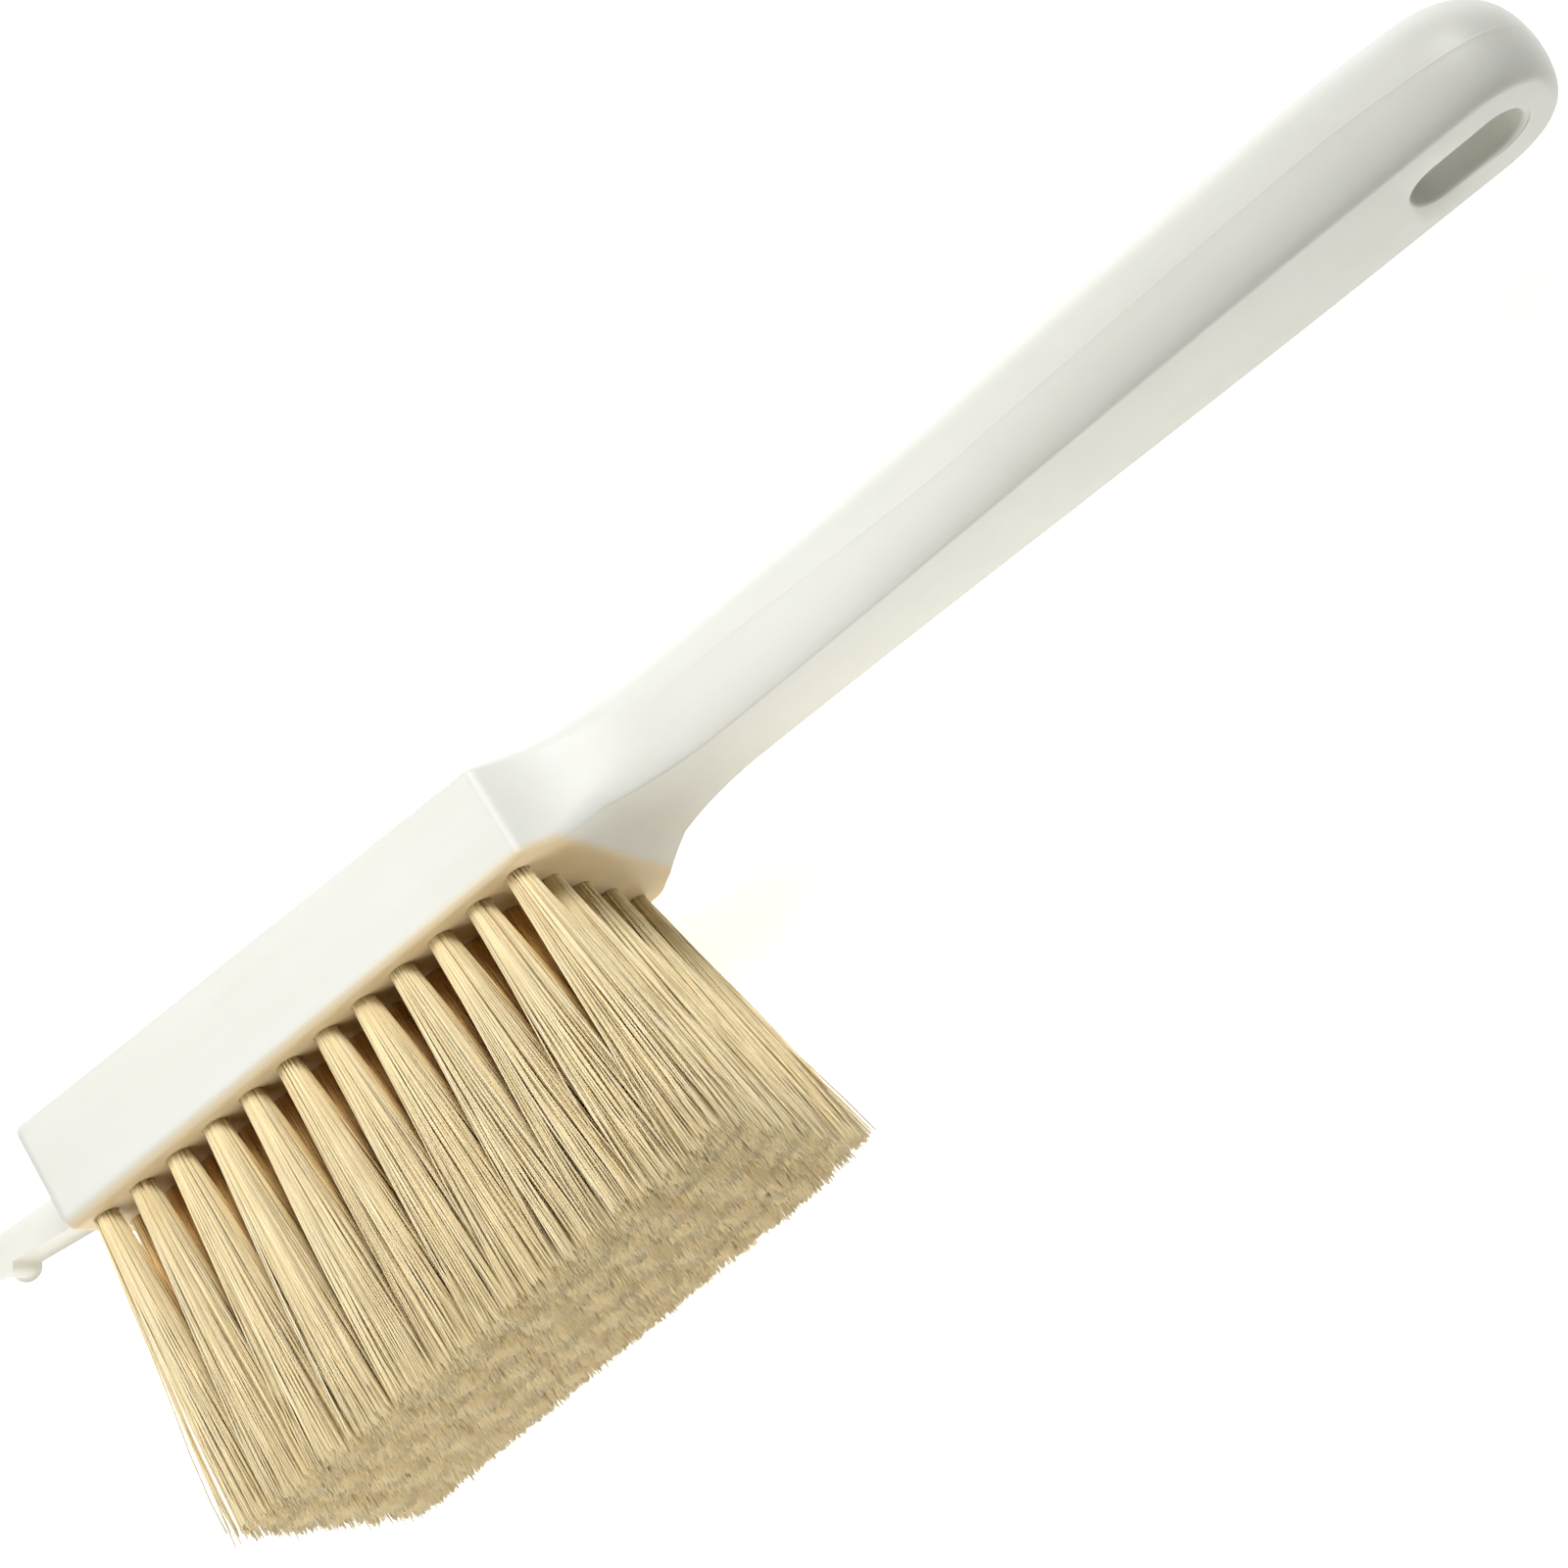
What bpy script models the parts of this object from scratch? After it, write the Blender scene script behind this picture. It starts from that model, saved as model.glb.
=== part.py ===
"""Bee brush: a handle and block moulded in one piece, set with five rows of bristle tufts.

+X runs along the handle to the hanging end. +Y points out of the block's flat back, so the
bristles point to -Y. +Z is across the brush. The origin is the centre of the block's back.

Shapes are worked out as (x, height, side), with the height measured up from the underside that
the block and the handle share. The back slopes a little against that underside, and place()
turns such a point into the frame of the back.
"""

import math

import bmesh
import bpy

MM = 0.001

# The block that holds the tufts.
BLOCK_WIDTH = 55 * MM
BLOCK_HEIGHT = 20.6 * MM
BACK_SLOPE = math.radians(1.64)
NOSE_X = -55.5 * MM
SHOULDER_X = 53.6 * MM
UNDERSIDE_END_X = 58.5 * MM
NOSE_CORNER = 2.5 * MM
BACK_EDGE = 1.2 * MM
NOSE_LOW_EDGE = 3 * MM
SHOULDER_LOW_EDGE = 1.4 * MM
LOW_EDGE_INSET = 0.75

# The neck and the handle.
NECK_X = 88 * MM
NECK_HALF_WIDTH = 11.7 * MM
NECK_UNDERSIDE_X = 67 * MM
NECK_UNDERSIDE = 1.9 * MM
NECK_TOP_X = 80 * MM
NECK_TOP = 23.5 * MM
NECK_WIDEST = 12.3 * MM
GRIP_X = 225 * MM
GRIP_HALF_WIDTH = 17.1 * MM
GRIP_TOP = 25.2 * MM
GRIP_WIDEST = 10.9 * MM
GRIP_LINE_X = 155 * MM
NECK_STRIP_INSET = 2.2 * MM
GRIP_STRIP_INSET = 4.1 * MM
LEAST_FLAT = 0.4 * MM

# The rounded end and its hanging hole.
END_X = 263 * MM
END_UNDERSIDE = -0.4 * MM
END_TOP = 23.6 * MM
END_WIDEST = 8.3 * MM
END_LENGTH = 17 * MM
END_POWER = 2.4
HOLE_X = 243 * MM
HOLE_LENGTH = 22 * MM
HOLE_WIDTH = 11.4 * MM
HOLE_RIM = 0.9 * MM

# The pan hook on the nose.
HOOK_REACH = 32 * MM
HOOK_WIDTH = 9 * MM
HOOK_ROOT_THICKNESS = 6.4 * MM
HOOK_TIP_THICKNESS = 4.4 * MM
HOOK_ROOT_HEIGHT = 12.4 * MM
HOOK_TIP_HEIGHT = 15.8 * MM
HOOK_LIP_DEPTH = 2 * MM
HOOK_LIP_LENGTH = 3.4 * MM
HOOK_EDGE = 0.8 * MM
HOOK_TIP_SETBACK = 2 * MM
HOOK_TIP_CHAMFER = 1 * MM
HOOK_ROOT_BURIED = 1.5 * MM

# The tufts and their holes.
TUFTS_IN_ROW = (12, 12, 11, 12, 12)
ROW_LENGTH = 99 * MM
ROW_PITCH = 11 * MM
TUFT_HOLE_RADIUS = 2.35 * MM
TUFT_HOLE_DEPTH = 14 * MM
TUFT_ROOT_RADIUS = 1.9 * MM
TUFT_FOOT_GAP = 0.4 * MM
TUFT_LENGTH = 63 * MM
TIP_SLOPE = 0.03
TIP_ROW_LENGTH = 103.4 * MM
TIP_ROW_PITCH = 12.8 * MM
TIP_LEAN = 4.5 * MM
TIP_RADIUS_X = 4.5 * MM
TIP_RADIUS_Z = 5.9 * MM
TUFT_SIDES = 8
TUFT_HOLE_SIDES = 10

# Facets, and how far a cutter runs past the body.
CUTTER_OVERRUN = 1 * MM
CROWN_STEPS = 6
FLANK_STEPS = 4
SMOOTH_ANGLE = math.radians(40)


def clear_scene():
    for obj in list(bpy.data.objects):
        bpy.data.objects.remove(obj, do_unlink=True)


def place(x, height, side):
    """A point given by its height above the underside, in the frame of the back."""
    rise = height - BLOCK_HEIGHT
    along = x * math.cos(BACK_SLOPE) - rise * math.sin(BACK_SLOPE)
    out = x * math.sin(BACK_SLOPE) + rise * math.cos(BACK_SLOPE)
    return (along, out, side)


def ease(x, start, end, before, after):
    """A value that goes smoothly from before to after as x goes from start to end."""
    share = min(max((x - start) / (end - start), 0), 1)
    return before + (after - before) * share * share * (3 - 2 * share)


def arch(share, power):
    """Height of a rounded outline, 1 at share 0 and 0 at share 1."""
    return (1 - min(max(share, 0), 1) ** power) ** (1 / power)


def nose_inset(x, radius):
    """How far a nose edge rounded with this radius has drawn in at x."""
    reach = min(max((NOSE_X + NOSE_CORNER - x) / NOSE_CORNER, 0), 1)
    return radius * (1 - math.sqrt(1 - reach * reach))


def shoulder_half_width(x):
    """A hollow arc from the block's side to the neck, tangent to the neck at NECK_X."""
    run = NECK_X - SHOULDER_X
    rise = BLOCK_WIDTH / 2 - NECK_HALF_WIDTH
    radius = (run * run + rise * rise) / (2 * rise)
    to_neck = NECK_X - x
    return NECK_HALF_WIDTH + radius - math.sqrt(radius * radius - to_neck * to_neck)


def end_share(x, end=END_X):
    """How far x has gone into the rounded end, from 0 to 1."""
    start = END_X - END_LENGTH
    return (x - start) / (end - start)


def half_width(x):
    if x <= SHOULDER_X:
        return BLOCK_WIDTH / 2 - nose_inset(x, NOSE_CORNER)
    if x < NECK_X:
        return shoulder_half_width(x)
    handle = ease(x, NECK_X, GRIP_X, NECK_HALF_WIDTH, GRIP_HALF_WIDTH)
    return handle * arch(end_share(x), END_POWER)


def low_edge(x):
    """Height of the rounding along the block's lower edge, deepest at the nose."""
    return ease(x, NOSE_X, SHOULDER_X, NOSE_LOW_EDGE, SHOULDER_LOW_EDGE)


def flank_half_width(x, rise):
    """Half the width on the flank, which rises from 0 at the flat underside to 1 at the widest."""
    if x <= SHOULDER_X:
        return half_width(x) - LOW_EDGE_INSET * low_edge(x) * (1 - rise)
    inset = ease(x, SHOULDER_X, NECK_X, LOW_EDGE_INSET * SHOULDER_LOW_EDGE, NECK_STRIP_INSET)
    inset = ease(x, NECK_X, GRIP_X, inset, GRIP_STRIP_INSET) * (1 - rise)
    if x < END_X - END_LENGTH:
        return half_width(x) - inset
    return (GRIP_HALF_WIDTH - inset) * arch(end_share(x, END_X - inset), END_POWER)


def underside_line(x):
    """The straight line of the handle's underside, from the neck to the end."""
    share = (x - NECK_UNDERSIDE_X) / (END_X - NECK_UNDERSIDE_X)
    return NECK_UNDERSIDE + share * (END_UNDERSIDE - NECK_UNDERSIDE)


def flank_low(x):
    """Height at which the flank would meet the flat underside."""
    if x <= UNDERSIDE_END_X:
        return nose_inset(x, LOW_EDGE_INSET * NOSE_LOW_EDGE)
    if x < NECK_UNDERSIDE_X:
        share = (x - UNDERSIDE_END_X) / (NECK_UNDERSIDE_X - UNDERSIDE_END_X)
        return share * NECK_UNDERSIDE
    return underside_line(x)


def underside(x):
    """The body's lowest height, which rises round the far end past the flat underside."""
    past_flat = max(x - (END_X - GRIP_STRIP_INSET), 0) / GRIP_STRIP_INSET
    return widest(x) - (widest(x) - flank_low(x)) * arch(past_flat, 2)


def widest(x):
    """Height at which the section is widest: the mould's parting line along the handle."""
    if x < NECK_X:
        return flank_low(x) + ease(x, SHOULDER_X, NECK_X, low_edge(x), NECK_WIDEST)
    along = ease(x, NECK_X, GRIP_LINE_X, NECK_WIDEST + underside_line(NECK_X), GRIP_WIDEST)
    return ease(x, GRIP_X, END_X, along, END_WIDEST)


def back_height(x):
    return BLOCK_HEIGHT - x * math.tan(BACK_SLOPE)


def top(x):
    if x <= SHOULDER_X:
        return back_height(x) - nose_inset(x, BACK_EDGE)
    rise = ease(x, SHOULDER_X, NECK_TOP_X, back_height(x), NECK_TOP)
    crown = rise + ease(x, NECK_TOP_X, GRIP_X, 0, GRIP_TOP - NECK_TOP)
    crown += ease(x, GRIP_X, END_X, 0, END_TOP - GRIP_TOP)
    return widest(x) + (crown - widest(x)) * arch(end_share(x), END_POWER)


def crown_corner(x):
    """Width and height of the crown's rounding, from the block's tight edge to a full arch."""
    full_width = half_width(x) - LEAST_FLAT
    full_height = top(x) - widest(x) - LEAST_FLAT
    blend = ease(x, SHOULDER_X, NECK_X, 0, 1)
    width = BACK_EDGE + blend * (full_width - BACK_EDGE)
    height = BACK_EDGE + blend * (full_height - BACK_EDGE)
    return width, max(height, LEAST_FLAT)


def half_section(x):
    """(height, side) points up one side of the section at x, from the underside to the crown."""
    points = []
    low, high, wide, waist = flank_low(x), top(x), half_width(x), widest(x)
    lowest = math.asin((waist - underside(x)) / (waist - low))
    for step in range(FLANK_STEPS + 1):
        turn = lowest * (1 - step / FLANK_STEPS)
        height = waist - (waist - low) * math.sin(turn)
        side = flank_half_width(x, math.cos(turn))
        points.append((height, max(side, LEAST_FLAT / 2)))
    corner_width, corner_height = crown_corner(x)
    for step in range(CROWN_STEPS + 1):
        turn = math.pi / 2 * step / CROWN_STEPS
        height = high - corner_height * (1 - math.sin(turn))
        points.append((height, wide - corner_width * (1 - math.cos(turn))))
    return points


def section(x):
    """The closed section at x, as points in space."""
    near = half_section(x)
    ring = near + [(height, -side) for height, side in reversed(near)]
    return [place(x, height, side) for height, side in ring]


def evenly(start, end, count):
    """This many equal steps from start to end, without start itself."""
    return [start + (end - start) * step / count for step in range(1, count + 1)]


def stations():
    """Where along X the sections are placed: close together where the shape turns."""
    end_start = END_X - END_LENGTH
    xs = [NOSE_X + NOSE_CORNER * (1 - math.cos(math.radians(a))) for a in (0, 30, 60, 90)]
    xs += [SHOULDER_X]
    xs += evenly(SHOULDER_X, UNDERSIDE_END_X, 2)
    xs += evenly(UNDERSIDE_END_X, NECK_UNDERSIDE_X, 3)
    xs += evenly(NECK_UNDERSIDE_X, NECK_X, 5)
    xs += evenly(NECK_X, end_start, 9)
    xs += [end_start + END_LENGTH * math.sin(math.radians(a)) for a in (18, 33, 46)]
    xs += [END_X - GRIP_STRIP_INSET * share for share in (1, 0.75, 0.45, 0.2, 0.05)]
    return xs


def loft(name, rings):
    """A closed body through rings of points that all have the same count."""
    mesh = bpy.data.meshes.new(name)
    bm = bmesh.new()
    loops = [[bm.verts.new(point) for point in ring] for ring in rings]
    count = len(loops[0])
    for first, second in zip(loops, loops[1:]):
        for i in range(count):
            j = (i + 1) % count
            bm.faces.new((first[i], first[j], second[j], second[i]))
    bm.faces.new(loops[0])
    bm.faces.new(loops[-1])
    bmesh.ops.recalc_face_normals(bm, faces=bm.faces)
    bm.to_mesh(mesh)
    bm.free()
    obj = bpy.data.objects.new(name, mesh)
    bpy.context.scene.collection.objects.link(obj)
    return obj


def make_guide(obj):
    """Keeps a cutter or a helper out of the finished model."""
    obj.hide_render = True
    obj.display_type = "WIRE"


def combine(target, tool, operation):
    modifier = target.modifiers.new(tool.name, "BOOLEAN")
    modifier.operation = operation
    modifier.object = tool
    make_guide(tool)


def hook_outline():
    """The pan hook's side profile, as (x, height) points from the root round the tip."""
    tip_x = NOSE_X - HOOK_REACH
    lip_x = tip_x + HOOK_TIP_SETBACK
    root_x = NOSE_X + HOOK_ROOT_BURIED
    root_low = HOOK_ROOT_HEIGHT - HOOK_ROOT_THICKNESS / 2
    root_high = HOOK_ROOT_HEIGHT + HOOK_ROOT_THICKNESS / 2
    tip_low = HOOK_TIP_HEIGHT - HOOK_TIP_THICKNESS / 2
    tip_high = HOOK_TIP_HEIGHT + HOOK_TIP_THICKNESS / 2
    return [
        (root_x, root_low),
        (lip_x + HOOK_LIP_LENGTH, tip_low),
        (lip_x + HOOK_LIP_LENGTH * 0.6, tip_low - HOOK_LIP_DEPTH),
        (lip_x + HOOK_LIP_LENGTH * 0.2, tip_low - HOOK_LIP_DEPTH),
        (tip_x, tip_low),
        (tip_x, tip_high - HOOK_TIP_CHAMFER),
        (tip_x + HOOK_TIP_CHAMFER, tip_high),
        (root_x, root_high),
    ]


def build_hook():
    rings = []
    for side in (-HOOK_WIDTH / 2, HOOK_WIDTH / 2):
        rings.append([place(x, height, side) for x, height in hook_outline()])
    hook = loft("hook_form", rings)
    edge = hook.modifiers.new("edge", "BEVEL")
    edge.width = HOOK_EDGE
    edge.segments = 1
    return hook


def obround(height, length, width, corner_steps=6):
    """A ring of points round a long hole, centred on HOLE_X."""
    radius = width / 2
    reach = length / 2 - radius
    ring = []
    for step in range(2 * corner_steps + 2):
        end = 1 if step <= corner_steps else -1
        turn = math.pi * (step if end == 1 else step - 1) / corner_steps - math.pi / 2
        x = HOLE_X + end * reach + radius * math.cos(turn)
        ring.append(place(x, height, radius * math.sin(turn)))
    return ring


def build_hanging_cutter():
    """The hanging hole, with a small bevelled rim where it opens on the flat underside."""
    mouth = underside_line(HOLE_X)
    above = GRIP_TOP + CUTTER_OVERRUN
    flare = 2 * HOLE_RIM
    rings = [
        obround(mouth - HOLE_RIM, HOLE_LENGTH + 2 * flare, HOLE_WIDTH + 2 * flare),
        obround(mouth + HOLE_RIM, HOLE_LENGTH, HOLE_WIDTH),
        obround(above, HOLE_LENGTH, HOLE_WIDTH),
    ]
    return loft("hanging_cutter", rings)


def tuft_places():
    """(row, column, root x, root side, tip x, tip side) of every tuft; all rows are as long."""
    places = []
    for row, count in enumerate(TUFTS_IN_ROW):
        across = row - (len(TUFTS_IN_ROW) - 1) / 2
        for column in range(count):
            along = column / (count - 1) - 0.5
            root = (along * ROW_LENGTH, -across * ROW_PITCH)
            tip = (along * TIP_ROW_LENGTH + TIP_LEAN, -across * TIP_ROW_PITCH)
            places.append((row + 1, column + 1, *root, *tip))
    return places


def disc(x, height, side, radius_x, radius_z, sides):
    ring = []
    for i in range(sides):
        turn = 2 * math.pi * (i + 0.5) / sides
        ring.append(place(x + radius_x * math.cos(turn), height, side + radius_z * math.sin(turn)))
    return ring


def build_tuft_cutter():
    """All the blind tuft holes as one cutter, open past the block's underside."""
    mesh = bpy.data.meshes.new("tuft_cutter")
    bm = bmesh.new()
    radius = TUFT_HOLE_RADIUS
    for _, _, x, side, _, _ in tuft_places():
        rings = [
            [bm.verts.new(p) for p in disc(x, height, side, radius, radius, TUFT_HOLE_SIDES)]
            for height in (-CUTTER_OVERRUN, TUFT_HOLE_DEPTH)
        ]
        for i in range(TUFT_HOLE_SIDES):
            j = (i + 1) % TUFT_HOLE_SIDES
            bm.faces.new((rings[0][i], rings[0][j], rings[1][j], rings[1][i]))
        bm.faces.new(rings[0])
        bm.faces.new(rings[1])
    bmesh.ops.recalc_face_normals(bm, faces=bm.faces)
    bm.to_mesh(mesh)
    bm.free()
    cutter = bpy.data.objects.new("tuft_cutter", mesh)
    bpy.context.scene.collection.objects.link(cutter)
    return cutter


def build_handle_block(material):
    body = loft("handle_block", [section(x) for x in stations()])
    combine(body, build_hook(), "UNION")
    combine(body, build_hanging_cutter(), "DIFFERENCE")
    combine(body, build_tuft_cutter(), "DIFFERENCE")
    finish_surface(body, material)
    return body


def build_tuft(row, column, root_x, root_side, tip_x, tip_side, material):
    """A bundle of bristles: straight in its hole, then spreading and leaning to its tip."""
    foot = TUFT_HOLE_DEPTH - TUFT_FOOT_GAP
    radius = TUFT_ROOT_RADIUS
    rings = [disc(root_x, foot, root_side, radius, radius, TUFT_SIDES)]
    length = TUFT_LENGTH - TIP_SLOPE * tip_x
    for share in (0, 0.5, 1):
        x = root_x + (tip_x - root_x) * share
        side = root_side + (tip_side - root_side) * share
        radius_x = radius + (TIP_RADIUS_X - radius) * share
        radius_z = radius + (TIP_RADIUS_Z - radius) * share
        rings.append(disc(x, -length * share, side, radius_x, radius_z, TUFT_SIDES))
    tuft = loft(f"tuft_r{row}_c{column:02d}", rings)
    finish_surface(tuft, material)
    return tuft


def finish_surface(obj, material):
    obj.data.materials.append(material)
    obj.data.shade_smooth()
    obj.data.set_sharp_from_angle(angle=SMOOTH_ANGLE)


def make_material(name, colour, roughness):
    material = bpy.data.materials.new(name)
    material.use_nodes = True
    shader = material.node_tree.nodes["Principled BSDF"]
    shader.inputs["Base Color"].default_value = (*colour, 1)
    shader.inputs["Roughness"].default_value = roughness
    shader.inputs["Metallic"].default_value = 0
    return material


def build_brush():
    clear_scene()
    plastic = make_material("white_plastic", (0.85, 0.85, 0.8), 0.38)
    bristle = make_material("cream_bristle", (0.78, 0.62, 0.36), 0.65)
    handle_block = build_handle_block(plastic)
    for place in tuft_places():
        tuft = build_tuft(*place, bristle)
        tuft.parent = handle_block


build_brush()
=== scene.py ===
import math

import bmesh
import bpy
import numpy as np
from mathutils import Matrix, Vector


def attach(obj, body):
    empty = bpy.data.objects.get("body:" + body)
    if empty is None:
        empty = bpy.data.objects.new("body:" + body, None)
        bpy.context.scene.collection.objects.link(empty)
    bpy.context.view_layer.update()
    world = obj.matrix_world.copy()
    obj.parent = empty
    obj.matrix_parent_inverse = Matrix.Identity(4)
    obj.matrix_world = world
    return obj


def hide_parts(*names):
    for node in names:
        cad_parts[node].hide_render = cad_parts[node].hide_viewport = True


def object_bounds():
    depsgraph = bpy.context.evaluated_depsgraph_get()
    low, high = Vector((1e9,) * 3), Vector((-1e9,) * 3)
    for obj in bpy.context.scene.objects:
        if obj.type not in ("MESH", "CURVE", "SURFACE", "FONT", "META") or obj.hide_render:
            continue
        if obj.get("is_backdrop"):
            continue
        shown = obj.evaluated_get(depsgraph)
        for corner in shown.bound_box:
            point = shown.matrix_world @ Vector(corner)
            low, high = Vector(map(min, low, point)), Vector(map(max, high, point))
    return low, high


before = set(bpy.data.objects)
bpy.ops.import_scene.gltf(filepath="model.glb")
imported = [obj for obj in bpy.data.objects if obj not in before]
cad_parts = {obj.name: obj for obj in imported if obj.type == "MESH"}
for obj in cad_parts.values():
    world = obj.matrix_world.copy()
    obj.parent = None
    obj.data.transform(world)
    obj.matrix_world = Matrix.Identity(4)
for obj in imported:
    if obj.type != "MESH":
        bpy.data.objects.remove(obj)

# A hand brush: one semi-gloss moulding with 59 bundles of natural bristle.
# Shapes are worked out as (x, height, side), with the height measured up from the underside, and
# place() turns them into the row frame, where the block's flat back lies at y = 0.

MM = 0.001
SEED = 20

# Body: the same shape as the CAD's handle_block, with finer facets and softer edges.
BLOCK_WIDTH = 55 * MM
BLOCK_HEIGHT = 20.6 * MM
BACK_SLOPE = math.radians(1.64)
NOSE_X = -55.5 * MM
SHOULDER_X = 53.6 * MM
SHOULDER_FILLET = 1.3 * MM
UNDERSIDE_END_X = 58.5 * MM
NOSE_CORNER = 2.5 * MM
BACK_EDGE = 1.2 * MM
NOSE_LOW_EDGE = 3 * MM
SHOULDER_LOW_EDGE = 1.4 * MM
LOW_EDGE_INSET = 0.75
NECK_X = 88 * MM
NECK_HALF_WIDTH = 11.7 * MM
NECK_UNDERSIDE_X = 67 * MM
NECK_UNDERSIDE = 1.9 * MM
NECK_TOP_X = 80 * MM
NECK_TOP = 23.5 * MM
NECK_WIDEST = 12.3 * MM
GRIP_X = 225 * MM
GRIP_HALF_WIDTH = 17.1 * MM
GRIP_TOP = 25.2 * MM
GRIP_WIDEST = 10.9 * MM
GRIP_LINE_X = 155 * MM
NECK_STRIP_INSET = 2.2 * MM
GRIP_STRIP_INSET = 4.1 * MM
LEAST_FLAT = 0.4 * MM
CROWN_SHARE = 0.95
END_X = 263 * MM
END_UNDERSIDE = -0.4 * MM
END_TOP = 23.6 * MM
END_WIDEST = 8.3 * MM
END_LENGTH = 17 * MM
END_POWER = 2.4
HOLE_X = 243 * MM
HOLE_LENGTH = 22 * MM
HOLE_WIDTH = 11.4 * MM
HOLE_RIM = 1.0 * MM
HOLE_OVERRUN = 4 * MM
HOOK_REACH = 32 * MM
HOOK_WIDTH = 9 * MM
HOOK_ROOT_THICKNESS = 6.4 * MM
HOOK_TIP_THICKNESS = 4.4 * MM
HOOK_ROOT_HEIGHT = 12.4 * MM
HOOK_TIP_HEIGHT = 15.8 * MM
HOOK_ROOT_BURIED = 1.5 * MM
HOOK_LIP_SETBACK = 2 * MM
HOOK_LIP_DROP = 2 * MM
HOOK_LIP_LENGTH = 2.6 * MM
HOOK_LIP_SLOPE = 1 * MM
HOOK_CORNER = 1.3 * MM
HOOK_EDGE = 0.9 * MM
HOOK_EDGE_STEPS = 5
TUFT_HOLE_RADIUS = 2.35 * MM
TUFT_HOLE_DEPTH = 14 * MM
TUFT_HOLE_SIDES = 24
TUFT_HOLE_OVERRUN = 1 * MM
TUFT_HOLE_CHAMFER = 0.15 * MM
TUFT_FOOT_GAP = 0.4 * MM
TUFT_END_SLICE = 0.2 * MM

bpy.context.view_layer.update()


# ---------------------------------------------------------------- shape of the moulding

def place(x, height, side):
    rise = height - BLOCK_HEIGHT
    along = x * math.cos(BACK_SLOPE) - rise * math.sin(BACK_SLOPE)
    out = x * math.sin(BACK_SLOPE) + rise * math.cos(BACK_SLOPE)
    return (along, out, side)


def ease(x, start, end, before, after):
    share = min(max((x - start) / (end - start), 0), 1)
    return before + (after - before) * share * share * (3 - 2 * share)


def arch(share, power):
    return (1 - min(max(share, 0), 1) ** power) ** (1 / power)


def nose_inset(x, radius):
    reach = min(max((NOSE_X + NOSE_CORNER - x) / NOSE_CORNER, 0), 1)
    return radius * (1 - math.sqrt(max(1 - reach * reach, 0)))


def shoulder_half_width(x):
    run = NECK_X - SHOULDER_X
    rise = BLOCK_WIDTH / 2 - NECK_HALF_WIDTH
    radius = (run * run + rise * rise) / (2 * rise)
    to_neck = NECK_X - x
    return NECK_HALF_WIDTH + radius - math.sqrt(radius * radius - to_neck * to_neck)


def end_share(x, end=END_X):
    start = END_X - END_LENGTH
    return (x - start) / (end - start)


def half_width(x):
    first, last = SHOULDER_X - SHOULDER_FILLET, SHOULDER_X + SHOULDER_FILLET
    if first < x < last:
        t = (x - first) / (last - first)
        side = BLOCK_WIDTH / 2
        return side * (1 - t * t) + shoulder_half_width(last) * t * t
    if x <= SHOULDER_X:
        return BLOCK_WIDTH / 2 - nose_inset(x, NOSE_CORNER)
    if x < NECK_X:
        return shoulder_half_width(x)
    handle = ease(x, NECK_X, GRIP_X, NECK_HALF_WIDTH, GRIP_HALF_WIDTH)
    return handle * arch(end_share(x), END_POWER)


def low_edge(x):
    return ease(x, NOSE_X, SHOULDER_X, NOSE_LOW_EDGE, SHOULDER_LOW_EDGE)


def flank_half_width(x, rise):
    """Half the width on the flank, which rises from 0 at the flat underside to 1 at the widest."""
    if x <= SHOULDER_X:
        return half_width(x) - LOW_EDGE_INSET * low_edge(x) * (1 - rise)
    inset = ease(x, SHOULDER_X, NECK_X, LOW_EDGE_INSET * SHOULDER_LOW_EDGE, NECK_STRIP_INSET)
    inset = ease(x, NECK_X, GRIP_X, inset, GRIP_STRIP_INSET) * (1 - rise)
    if x < END_X - END_LENGTH:
        return half_width(x) - inset
    return (GRIP_HALF_WIDTH - inset) * arch(end_share(x, END_X - inset), END_POWER)


def underside_line(x):
    share = (x - NECK_UNDERSIDE_X) / (END_X - NECK_UNDERSIDE_X)
    return NECK_UNDERSIDE + share * (END_UNDERSIDE - NECK_UNDERSIDE)


def flank_low(x):
    """Height at which the flank would meet the flat underside."""
    if x <= UNDERSIDE_END_X:
        return nose_inset(x, LOW_EDGE_INSET * NOSE_LOW_EDGE)
    if x < NECK_UNDERSIDE_X:
        share = (x - UNDERSIDE_END_X) / (NECK_UNDERSIDE_X - UNDERSIDE_END_X)
        return share * NECK_UNDERSIDE
    return underside_line(x)


def underside(x):
    """The body's lowest height, which rises round the far end past the flat underside."""
    past_flat = max(x - (END_X - GRIP_STRIP_INSET), 0) / GRIP_STRIP_INSET
    return widest(x) - (widest(x) - flank_low(x)) * arch(past_flat, 2)


def widest(x):
    if x < NECK_X:
        return flank_low(x) + ease(x, SHOULDER_X, NECK_X, low_edge(x), NECK_WIDEST)
    along = ease(x, NECK_X, GRIP_LINE_X, NECK_WIDEST + underside_line(NECK_X), GRIP_WIDEST)
    return ease(x, GRIP_X, END_X, along, END_WIDEST)


def back_height(x):
    return BLOCK_HEIGHT - x * math.tan(BACK_SLOPE)


def top(x):
    if x <= SHOULDER_X:
        return back_height(x) - nose_inset(x, BACK_EDGE)
    rise = ease(x, SHOULDER_X, NECK_TOP_X, back_height(x), NECK_TOP)
    crown = rise + ease(x, NECK_TOP_X, GRIP_X, 0, GRIP_TOP - NECK_TOP)
    crown += ease(x, GRIP_X, END_X, 0, END_TOP - GRIP_TOP)
    return widest(x) + (crown - widest(x)) * arch(end_share(x), END_POWER)


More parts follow.
